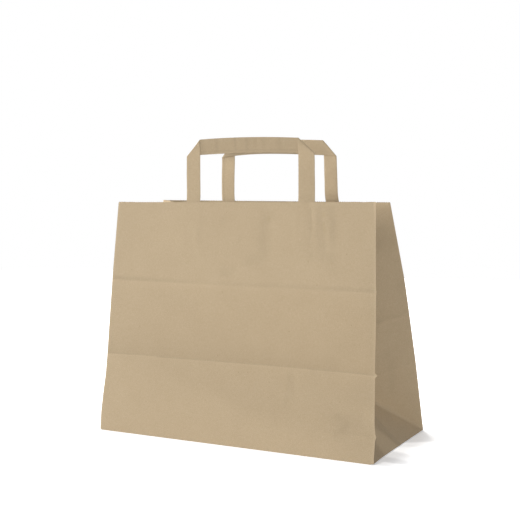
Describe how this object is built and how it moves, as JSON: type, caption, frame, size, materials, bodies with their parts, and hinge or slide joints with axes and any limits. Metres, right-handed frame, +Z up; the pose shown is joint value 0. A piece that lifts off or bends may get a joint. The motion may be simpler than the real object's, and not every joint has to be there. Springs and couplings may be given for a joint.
{
  "type": "paper carrier bag",
  "caption": "Open brown kraft paper carrier bag with a block bottom, folded side gussets and flat folded paper handles.",
  "frame": {"origin": "middle of the outer face of the glued base, where the bag rests", "axes": "+X across the wide front panel to the right, +Y from the front panel to the rear, +Z up through the mouth"},
  "size_m": [0.3415, 0.1668, 0.3256],
  "materials": {
    "kraft_sheet": "matt uncoated brown kraft",
    "kraft_strip": "matt brown kraft folded in layers",
    "kraft_patch": "matt brown kraft glued flat"
  },
  "bodies": {
    "root": {"bag_body": "kraft_sheet", "front_handle": "kraft_strip", "rear_handle": "kraft_strip", "front_handle_patch": "kraft_patch", "rear_handle_patch": "kraft_patch"}
  },
  "joints": []
}
